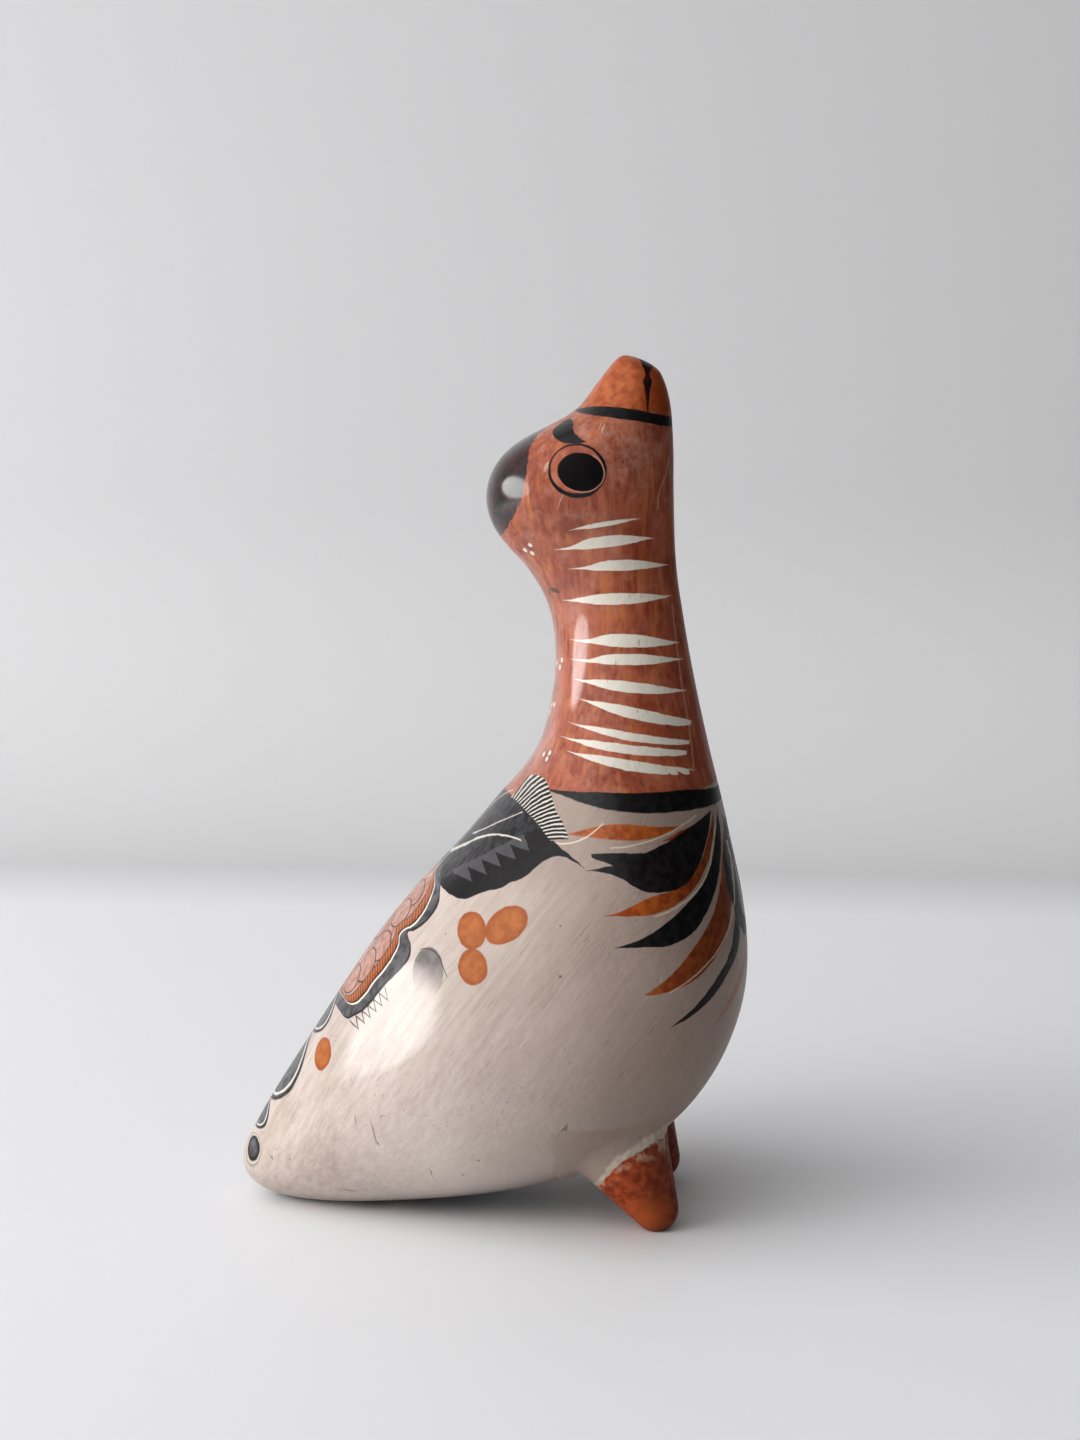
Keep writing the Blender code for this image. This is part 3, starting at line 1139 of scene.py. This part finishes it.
    def flower(self) -> None:
        """Paints a scalloped flower on the back, pink inside a hatched ochre band and a grey rim."""
        canvas = self.canvas
        rim = canvas.profile(canvas.back, self.flower_rim, self.flower_ends)
        line = canvas.profile(canvas.back, self.flower_line, self.flower_ends)
        within = (canvas.back - self.flower_ends[0]).least(self.flower_ends[1] - canvas.back)
        outer = (rim - canvas.out).least(within)
        inner = (line - canvas.out).least(within)
        self.paint(Slip.SLATE, outer.inside(0.25), second=Slip.GREY)
        self.paint(Slip.BLACK, outer.near(0.35, 0.4, 0.25), 0.85)
        band = inner.inside(0.3)
        self.paint(Slip.OCHRE_DARK, band, second=Slip.OCHRE)
        self.paint(Slip.ORANGE, band * inner.above(1.8, 2.0), 0.85)
        hatch = abs(((canvas.back + canvas.out * 0.5) * 0.8).fraction() - 0.5)
        self.paint(Slip.BLACK_WARM, band * hatch.above(0.34, 0.12), 0.85)
        heart = inner.above(self.flower_band, 0.3)
        self.paint(Slip.REDDISH, heart, second=Slip.PINK)
        for petal in self.petals:
            reach = petal.reach(canvas)
            self.paint(Slip.PINK, reach.below(1.0, 0.05) * heart, second=Slip.REDDISH)
            self.paint(Slip.BLACK_WARM, reach.near(1.0, 0.055, 0.05) * heart, 0.9)
        self.paint(Slip.BLACK_WARM, inner.near(self.flower_band, 0.25, 0.3), 0.8)
        self.paint(Slip.BLACK, inner.near(0.7, 0.3, 0.2), 0.85)
        self.paint(Slip.WHITE, inner.near(0.0, 0.33, 0.2))

    def chain(self) -> None:
        """Paints grey medallions with a white line inside their dark rims, a painted highlight on one
        medallion, and the drop on the tail.
        """
        canvas = self.canvas
        for place, half_length, half_width in self.medallions:
            reach = Dab((place, 0.0), (half_length, half_width), plane=Plane.BACK).reach(canvas)
            self.paint(Slip.BLACK, reach.below(1.0, 0.04))
            self.paint(Slip.SLATE, reach.below(0.92, 0.05), second=Slip.GREY)
            self.paint(Slip.WHITE, reach.near(0.85, 0.028, 0.04))
        # Painted highlight: a small white glint on a medallion.
        self.paint(Slip.WHITE, self.painted_glint.cover(canvas))
        reach = self.drop.reach(canvas) * (canvas.up - self.drop.centre[1]).scaled(0.055, 1.0)
        self.paint(Slip.GREY, reach.below(1.12, 0.1), 0.6)
        self.paint(Slip.PUTTY, reach.below(1.02, 0.1), 0.7)
        self.paint(Slip.BLACK, reach.below(0.9, 0.1))
        self.paint(Slip.SLATE, reach.below(0.6, 0.3), second=Slip.GREY)

    def finger_dots(self) -> None:
        """Paints orange finger dots, darker round their edges, and a grey egg that fades out below."""
        canvas = self.canvas
        for dot in self.dots:
            reach = dot.reach(canvas)
            cover = reach.below(1.0, 0.07)
            self.paint(Slip.ORANGE, cover, second=Slip.ORANGE_DARK)
            self.paint(Slip.OCHRE_DARK, cover * reach.above(0.84, 0.3), 0.6)
        self.paint(Slip.GREY, self.egg.cover(canvas) * canvas.up.ramp(0.13, -9.0), 0.78, second=Slip.SLATE)
        self.paint(Slip.BLACK, self.egg_line.cover(canvas), 0.7)

    def decorate(self) -> None:
        """Paints the flank and the back."""
        canvas = self.canvas
        self.ground()
        self.pit()
        self.paint(Slip.PIT, all_of(canvas, self.scratches), 0.55)
        self.finger_dots()
        self.paint(Slip.BLACK, self.zigzag(), 0.9)
        self.flower()
        self.chain()
        leaf = self.toothed_leaf()
        self.fan()
        self.paint(Slip.WHITE, all_of(canvas, (self.scroll, self.vein, self.midline)), 0.85)
        self.wax = self.usual_wax() * self.bare_along.ramp(0.006, 0.83) * leaf.scaled(-0.25, 1.0)


class FootPaint(Clay):
    """The feet and the breast just above them: rust below, cream above, and a hand-smeared edge between, with
    painted shade towards the front of the feet and a painted patch of light near each foot's tip.
    """

    name = "painted_feet"
    smears = Grain(0.3, roughness=0.6)
    roughness = 0.5
    wax = 0.12
    edge_ends = (28.0, 62.0)
    edge = (
        (28.0, 6.0), (33.9, 17.0), (36.5, 20.7), (38.9, 22.8),
        (42.4, 24.7), (47.2, 26.6), (53.0, 27.5), (62.0, 29.0),
    )
    edge_above_foot = 2.2
    # a patch of painted light near each foot's tip
    painted_light_patch = Dab((45.0, 5.0), (4.5, 5.0))

    def decorate(self) -> None:
        """Paints the feet."""
        canvas, feet = self.canvas, BirdSkin.feet
        self.colour = self.cream()
        self.pit()
        from_tip = self.graph.vector("SUBTRACT", canvas.place, tuple(part / MM for part in feet.ball(1)))
        reach = self.graph.measure("DOT_PRODUCT", from_tip, tuple(feet.lean(1)))
        far = self.graph.measure("LENGTH", from_tip)
        radius = (far * far - reach * reach).most(0.0) ** 0.5
        slope = math.tan(feet.taper)
        start = feet.tip_radius / MM * (math.cos(feet.taper) + math.sin(feet.taper) * slope)
        around = reach.scaled(slope, start + self.edge_above_foot) - radius
        below = canvas.profile(canvas.along, self.edge, self.edge_ends) - canvas.up
        inside = around.least(below) + self.ragged(0.6, 1.6)
        rust = inside.inside(0.4)
        thin = self.cloud.scaled(0.6, 0.4)
        self.paint(Slip.PUTTY, inside.near(-1.2, 1.5, 1.2) * thin, 0.6)
        self.paint(Slip.FOOT, rust, second=Slip.FOOT_DARK)
        # Painted shade: the rust of the feet darkens towards their front, which turns away from the light.
        self.paint(Slip.BLACK_WARM, canvas.along.above(43.5, 7.0) * rust, 0.45)
        # Painted light: a soft lighter orange patch near each foot's tip, on its lit side.
        painted_light = self.painted_light_patch.reach(canvas).below(1.0, 1.4) * rust
        self.paint(Slip.FOOT_PAINTED_LIGHT, painted_light * thin, 0.6)
        smear = self.graph.noise(canvas.bare, self.smears).above(0.53, 0.14)
        self.paint(Slip.PUTTY, smear * below.below(3.6, 4.0) * rust, 0.4)


@dataclass(frozen=True)
class Feet:
    """Two blunt cones with round tips, in metres."""

    forward: float = 0.04704
    spacing: float = 0.04512
    tip_radius: float = 0.006408
    sole: float = 0.0056
    lean_back: float = 0.56
    lean_inward: float = 0.12
    taper: float = math.radians(19.5)
    fillet: float = 0.0035
    reach_limit: float = 0.06
    height_limit: float = 0.05

    def ball(self, side: int) -> Vector:
        """Centre of the round tip, on the left at +1 or the right at -1."""
        drop = math.sqrt(self.tip_radius**2 - (self.sole / 2) ** 2)
        return Vector((self.forward, side * self.spacing / 2, drop))

    def lean(self, side: int) -> Vector:
        """The way from the tip up into the body."""
        return Vector((-self.lean_back, -side * self.lean_inward, 1.0)).normalized()

    def pull(self, points: np.ndarray, side: int) -> np.ndarray:
        """Draws the skin out along one foot's own line until it meets the foot.

        Args:
            points: the skin's points, one row each.
            side: +1 for the left foot, -1 for the right.

        Returns:
            The points with the foot drawn out and a small fillet at its root.
        """
        lean = np.array(self.lean(side))
        away = points - np.array(self.ball(side))
        reach = away @ lean
        radius = np.sqrt(np.maximum((away**2).sum(axis=1) - reach**2, 0.0))
        edge = self.tip_radius * math.cos(self.taper)
        ball = -np.sqrt(np.maximum(self.tip_radius**2 - radius**2, 0.0))
        cone = -self.tip_radius * math.sin(self.taper) + (radius - edge) / math.tan(self.taper)
        foot = np.where(radius < edge, ball, cone)
        blend = np.clip(0.5 + 0.5 * (foot - reach) / self.fillet, 0.0, 1.0)
        met = foot * (1.0 - blend) + reach * blend - self.fillet * blend * (1.0 - blend)
        facing = (reach < self.reach_limit) & (points[:, 2] < self.height_limit)
        return points + np.outer(np.where(facing, met - reach, 0.0), lean)


@dataclass(frozen=True)
class BirdSkin:
    """The bird's skin as one closed mesh of slices from the tail to the beak."""

    feet = Feet()
    height: float = 0.240
    tail_tip: Pair = (-0.303, 0.046)
    beak_tip: Pair = (0.156, 1.000)
    fullness: float = 0.10
    rings: int = 290
    sides: int = 264
    foot_slices: Pair = (7.0, 1.3)
    closer_rings: float = 1.3
    closer_sides: float = 0.45
    fine_steps: int = 4001
    axis_ahead: float = 0.02
    hollow_depth: float = 0.00022
    facet_depth: float = 0.00006
    slices: Sequence[tuple[Pair, Pair, float]] = (
        ((-0.295, 0.073), (-0.286, 0.018), 0.040),
        ((-0.267, 0.123), (-0.242, 0.002), 0.072),
        ((-0.222, 0.195), (-0.175, -0.001), 0.108),
        ((-0.170, 0.275), (-0.090, 0.006), 0.148),
        ((-0.112, 0.356), (0.000, 0.018), 0.182),
        ((-0.062, 0.412), (0.088, 0.038), 0.201),
        ((-0.022, 0.456), (0.165, 0.070), 0.212),
        ((0.010, 0.494), (0.229, 0.122), 0.217),
        ((0.034, 0.521), (0.275, 0.191), 0.215),
        ((0.052, 0.549), (0.299, 0.275), 0.204),
        ((0.063, 0.578), (0.294, 0.370), 0.178),
        ((0.070, 0.610), (0.275, 0.460), 0.142),
        ((0.074, 0.648), (0.251, 0.560), 0.109),
        ((0.071, 0.690), (0.231, 0.652), 0.086),
        ((0.059, 0.729), (0.216, 0.738), 0.077),
        ((0.033, 0.767), (0.211, 0.800), 0.080),
        ((0.003, 0.803), (0.209, 0.850), 0.090),
        ((-0.006, 0.847), (0.209, 0.885), 0.093),
        ((0.013, 0.887), (0.208, 0.915), 0.087),
        ((0.052, 0.914), (0.206, 0.938), 0.071),
        ((0.093, 0.936), (0.202, 0.958), 0.054),
        ((0.116, 0.962), (0.196, 0.975), 0.040),
        ((0.138, 0.990), (0.184, 0.989), 0.025),
    )

    def outline(self, places: np.ndarray) -> np.ndarray:
        """Points of a smooth closed curve: up the back from the tail to the beak, and down the front.

        Args:
            places: places along the curve, counted in slices from the tail.

        Returns:
            One row each of x, z and half width, in metres. The width changes sign at both tips.
        """
        backs = [(*back, width) for back, _, width in self.slices]
        fronts = [(*front, -width) for _, front, width in reversed(self.slices)]
        points = np.array([(*self.tail_tip, 0.0), *backs, (*self.beak_tip, 0.0), *fronts]) * self.height
        ahead, behind = np.roll(points, -1, axis=0), np.roll(points, 1, axis=0)
        unit = np.eye(len(points))
        system = 4.0 * unit + np.roll(unit, 1, axis=1) + np.roll(unit, -1, axis=1)
        bend = np.linalg.solve(system, ahead - 2.0 * points + behind)
        start = np.floor(places).astype(int)
        first, second = start % len(points), (start + 1) % len(points)
        u = (places - start)[:, None]
        v = 1.0 - u
        straight = v * points[first] + u * points[second]
        return straight + (v**3 - v) * bend[first] + (u**3 - u) * bend[second]

    def ring_places(self) -> np.ndarray:
        """Spaces the rings, closer together where the feet are drawn out.

        Returns:
            Their places, counted in slices from the tail.
        """
        fine = np.linspace(0.0, len(self.slices) + 1.0, self.fine_steps)
        middle, spread = self.foot_slices
        density = 1.0 + self.closer_rings * np.exp(-(((fine - middle) / spread) ** 2))
        total = np.concatenate(([0.0], np.cumsum((density[1:] + density[:-1]) / 2)))
        steps = np.arange(1, self.rings + 1) / (self.rings + 1)
        return np.interp(steps, total / total[-1], fine)

    def side_angles(self) -> np.ndarray:
        """Spaces the points round a slice, closer together towards the belly.

        Returns:
            Their angles.
        """
        fine = np.linspace(0.0, 2.0 * math.pi, self.fine_steps)
        share = (fine - self.closer_sides * np.sin(fine)) / (2.0 * math.pi)
        return np.interp(np.arange(self.sides) / self.sides, share, fine)

    def points(self) -> np.ndarray:
        """Places all the skin's points: the rings from the tail to the beak, and then the two tips.

        Returns:
            One row each of x, y and z, in metres.
        """
        places, angles = self.ring_places(), self.side_angles()
        back, front = self.outline(places), self.outline(-places)
        middle = 0.5 + 0.5 * np.cos(angles)
        plane = front[:, None, :2] + (back - front)[:, None, :2] * middle[None, :, None]
        breadth = (1.0 - self.fullness * np.cos(angles)) * np.sin(angles)
        out = back[:, 2:3] * breadth[None, :]
        grid = np.stack((plane[..., 0], out, plane[..., 1]), axis=-1)
        tips = [(x * self.height, 0.0, z * self.height) for x, z in (self.tail_tip, self.beak_tip)]
        return np.concatenate((grid.reshape(-1, 3), np.array(tips)))

    def faces(self) -> list[tuple[int, ...]]:
        """Joins the points into faces, and closes the two ends to their tips.

        Returns:
            The corners of every face.
        """
        rings, sides = self.rings, self.sides
        made = []
        for ring in range(rings - 1):
            for side in range(sides):
                after = (side + 1) % sides
                lower, upper = ring * sides, (ring + 1) * sides
                made.append((lower + side, upper + side, upper + after, lower + after))
        last = (rings - 1) * sides
        for side in range(sides):
            after = (side + 1) % sides
            made.append((rings * sides, side, after))
            made.append((rings * sides + 1, last + after, last + side))
        return made

    def relief(self, points: np.ndarray) -> np.ndarray:
        """Works out the gentle hollows that the hands and the burnishing stone leave.

        Args:
            points: the skin's points.

        Returns:
            How deep each is pressed in, in metres.
        """
        depths = []
        for x, y, z in points:
            slow = noise.noise(Vector((x, y, z)) * 45.0)
            facet = noise.noise(Vector((x * 160.0, y * 160.0, z * 60.0)))
            depths.append(self.hollow_depth * slow + self.facet_depth * facet)
        return np.array(depths)

    def fitted(self, points: np.ndarray) -> np.ndarray:
        """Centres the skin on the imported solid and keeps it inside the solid's box.

        Args:
            points: the skin's points.

        Returns:
            The points in place.
        """
        low, high = (np.array(corner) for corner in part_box(NODE))
        size = points.max(axis=0) - points.min(axis=0)
        scale = np.minimum((high - low) / size, 1.0)
        centre = (points.max(axis=0) + points.min(axis=0)) / 2
        placed = (points - centre) * scale + (low + high) / 2
        return np.clip(placed, low, high)

    def build(self) -> bpy.types.Object:
        """Makes the skin, shaded smooth.

        Returns:
            Its object.
        """
        points = self.points()
        for side in (-1, 1):
            points = self.feet.pull(points, side)
        outward = points - np.array((self.axis_ahead, 0.0, 0.0))
        outward[:, 2] = 0.0
        outward /= np.maximum(np.linalg.norm(outward, axis=1, keepdims=True), 1e-6)
        points = points - outward * self.relief(points)[:, None]
        points[:, 2] = np.maximum(points[:, 2], 0.0)
        mesh = bpy.data.meshes.new(PIECE)
        mesh.from_pydata(self.fitted(points).tolist(), [], self.faces())
        mesh.validate()
        mesh.shade_smooth()
        made = bpy.data.objects.new(PIECE, mesh)
        bpy.context.scene.collection.objects.link(made)
        return made


class Stretch(Enum):
    """The painted stretches of the skin, numbered as their finishes are."""

    HEAD = 0
    NECK = 1
    BREAST = 2
    BACK = 3
    FEET = 4


@dataclass(frozen=True)
class PaintedBird:
    """The whole bird: its skin, and a finish for each painted stretch, whose borders are in millimetres."""

    skin: BirdSkin = BirdSkin()
    finishes: Sequence[type[Clay]] = (HeadPaint, NeckPaint, BreastPaint, BackPaint, FootPaint)
    head_above: float = 198.0
    crown_above: float = 185.5
    crown_behind: float = 9.3
    neck_above: float = 128.0
    feet_below: float = 34.0
    feet_ahead: float = 20.0
    breast_ahead: float = 28.6

    def stretch(self, centre: Vector) -> Stretch:
        """Finds the stretch that a face is in.

        Args:
            centre: the face's centre in metres.

        Returns:
            The stretch.
        """
        x, _, z = centre / MM
        if z > self.head_above or (z > self.crown_above and x < self.crown_behind):
            return Stretch.HEAD
        if z > self.neck_above:
            return Stretch.NECK
        if z < self.feet_below and x > self.feet_ahead:
            return Stretch.FEET
        return Stretch.BREAST if x > self.breast_ahead else Stretch.BACK

    def build(self) -> bpy.types.Object:
        """Makes the bird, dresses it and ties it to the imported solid.

        Returns:
            Its object.
        """
        bird = self.skin.build()
        for paint in self.finishes:
            bird.data.materials.append(paint().build())
        for face in bird.data.polygons:
            face.material_index = self.stretch(face.center).value
        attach(bird, "root")
        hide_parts(NODE)
        log.info("%s: %d faces, %d finishes", bird.name, len(bird.data.polygons), len(bird.data.materials))
        return bird


@dataclass(frozen=True)
class SoftLight:
    """An oval light, in metres and watts, that may be turned about its own middle, in radians."""

    name: str
    place: Triple
    aim: Triple
    size: Pair
    power: float
    roll: float = 0.0
    mirrored: bool = True

    def hang(self) -> None:
        """Hangs the light."""
        lamp = bpy.data.lights.new(self.name, "AREA")
        lamp.shape = "ELLIPSE"
        lamp.size, lamp.size_y = self.size
        lamp.energy = self.power
        made = bpy.data.objects.new(self.name, lamp)
        made.location = self.place
        facing = (Vector(self.aim) - Vector(self.place)).to_track_quat("-Z", "Y")
        made.rotation_euler = (facing @ Quaternion((0.0, 0.0, 1.0), self.roll)).to_euler()
        made.visible_glossy = self.mirrored
        bpy.context.scene.collection.objects.link(made)


@dataclass(frozen=True)
class Studio:
    """A pale floor that sweeps up into a pale wall, two soft lights in a room that glows, and the camera."""

    left: float = -2.2
    right: float = 0.40
    front: float = -1.4
    depth: float = 0.66
    sweep: float = 0.18
    sweep_steps: int = 12
    wall: float = 2.4
    tone: Colour = screen_colour(225, 225, 227)
    wall_tone: Colour = screen_colour(200, 200, 201)
    matt: float = 0.6
    clouding: Grain = Grain(3.0, 2.0)
    lights: Sequence[SoftLight] = (
        SoftLight("window", (-1.05, -0.19, 0.27), (0.0, 0.0, 0.05), (0.94, 0.40), 5.3, roll=-0.3),
        SoftLight("fill", (-0.95, -0.75, 0.75), (0.0, 0.0, 0.08), (0.6, 0.6), 3.2, mirrored=False),
    )
    bright_way: Triple = (-0.68, -0.39, 0.62)
    glow: float = 1.8
    dim: float = 0.14
    mirrored_less: float = 0.6
    seen: float = 0.6
    lens: float = 57.5
    film: float = 36.0
    camera_place: Triple = (0.05828, -0.63798, 0.2224)
    camera_down: float = math.radians(7.4314)
    camera_left: float = math.radians(4.0)

    def backdrop(self) -> None:
        """Lays out the floor and the wall as one smooth sheet."""
        bend = self.depth - self.sweep
        section = [(self.front, 0.0), (bend, 0.0)]
        for step in range(1, self.sweep_steps + 1):
            angle = math.pi / 2 * step / self.sweep_steps
            section.append((bend + self.sweep * math.sin(angle), self.sweep * (1.0 - math.cos(angle))))
        section.append((self.depth, self.wall))
        points = [(x, y, z) for y, z in section for x in (self.left, self.right)]
        faces = [(2 * i, 2 * i + 1, 2 * i + 3, 2 * i + 2) for i in range(len(section) - 1)]
        mesh = bpy.data.meshes.new("backdrop")
        mesh.from_pydata(points, [], faces)
        mesh.shade_smooth()
        mesh.materials.append(self.pale())
        made = bpy.data.objects.new("backdrop", mesh)
        bpy.context.scene.collection.objects.link(made)

    def pale(self) -> bpy.types.Material:
        """Tones the floor, and the wall a little darker.

        Returns:
            The backdrop's material.
        """
        graph = Graph.of_material("pale_backdrop")
        place = graph.node("TexCoord").outputs["Object"]
        _, away, _ = graph.split(place)
        cloud = graph.noise(place, self.clouding).scaled(0.06, away.ramp(10.0, -3.9))
        graph.connect(graph.mix(cloud, self.tone, self.wall_tone), graph.shader.inputs["Base Color"])
        graph.shader.inputs["Roughness"].default_value = self.matt
        return graph.material

    def room(self) -> None:
        """Lets the room glow, brighter above and to the left, and less where it is mirrored."""
        world = bpy.data.worlds.new("room")
        world.use_nodes = True
        graph = Graph(world.node_tree, world.node_tree.nodes["Background"])
        way = graph.node("TexCoord").outputs["Generated"]
        share = graph.measure("DOT_PRODUCT", way, self.bright_way)
        glow = graph.math("SMOOTH_MIN", share.most(0.0), 1.0, 0.1) ** 2.5
        path = graph.node("LightPath")
        seen, mirrored = (Value(graph, path.outputs[name]) for name in ("Is Camera Ray", "Is Glossy Ray"))
        graph.shader.inputs["Color"].default_value = (1.0, 1.0, 1.0, 1.0)
        strength = glow.scaled(self.glow, self.dim) * mirrored.scaled(-self.mirrored_less, 1.0)
        graph.connect(strength.most(seen * self.seen), graph.shader.inputs["Strength"])
        bpy.context.scene.world = world

    def camera(self) -> None:
        """Sets up the camera, level with the bird's head and looking a little down."""
        data = bpy.data.cameras.new("camera")
        data.lens = self.lens
        data.sensor_width = self.film
        made = bpy.data.objects.new("camera", data)
        made.location = self.camera_place
        made.rotation_euler = (math.pi / 2 - self.camera_down, 0.0, self.camera_left)
        bpy.context.scene.collection.objects.link(made)
        bpy.context.scene.camera = made

    def build(self) -> None:
        """Sets up the stage, the lights and the camera."""
        self.backdrop()
        for light in self.lights:
            light.hang()
        self.room()
        self.camera()
        bpy.context.scene.view_settings.view_transform = "Standard"
        bpy.context.scene.view_settings.look = "Medium High Contrast"
        log.info("studio: backdrop, %d lights, room and camera", len(self.lights))


def main() -> None:
    """Builds the studio and the bird, and reports on them."""
    logging.basicConfig(level=logging.INFO, format="%(name)s: %(message)s")
    Studio().build()
    PaintedBird().build()


if __name__ == "__main__":
    main()
